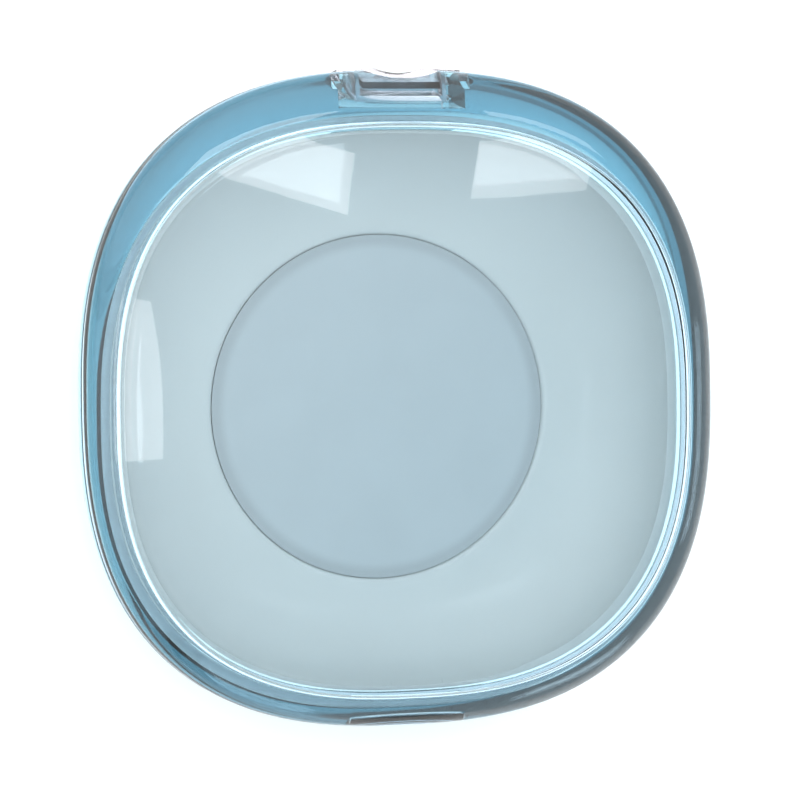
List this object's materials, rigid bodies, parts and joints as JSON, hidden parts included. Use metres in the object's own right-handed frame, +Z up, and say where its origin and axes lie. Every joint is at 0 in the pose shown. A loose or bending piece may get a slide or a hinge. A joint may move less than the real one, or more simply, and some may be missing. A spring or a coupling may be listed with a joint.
{
  "type": "wet palette",
  "caption": "Pocket wet palette: clear rounded-square case with a domed hinged lid, push-button catch, dished mixing tray and a round foam and paper.",
  "frame": {"origin": "centre of the case in plan, on the table under the flat underside", "axes": "+Z up, -Y the front with the push button, +Y the back with the hinge, +X across the case"},
  "size_m": [0.09, 0.0902, 0.025],
  "materials": {
    "clear_blue": "clear, polished, light blue tint",
    "clear_button": "clear, polished, nearly colourless",
    "tray_plastic": "smooth gloss, pale blue grey",
    "foam": "fine open-cell wet foam",
    "paper": "smooth damp parchment",
    "silicone": "translucent silicone, satin",
    "steel": "drawn stainless steel"
  },
  "bodies": {
    "base": {"base_shell": "clear_blue", "mixing_tray": "tray_plastic", "foam_pad": "foam", "palette_paper": "paper", "seal_ring": "silicone", "hinge_pin": "steel", "catch_spring_left": "steel", "catch_spring_right": "steel"},
    "lid": {"lid_shell": "clear_blue"},
    "button": {"catch_button": "clear_button"}
  },
  "joints": [
    {"name": "lid_hinge", "type": "hinge", "parent": "base", "child": "lid", "pos_m": [0, 0.0437, 0.0149], "axis": [-1, 0, 0], "range_deg": [0, 110]},
    {"name": "button_slide", "type": "slide", "parent": "base", "child": "button", "axis": [0, 1, 0], "range_m": [0, 0.0007], "stiffness_N_per_m": 1500, "deforming": ["catch_spring_left", "catch_spring_right"]}
  ]
}
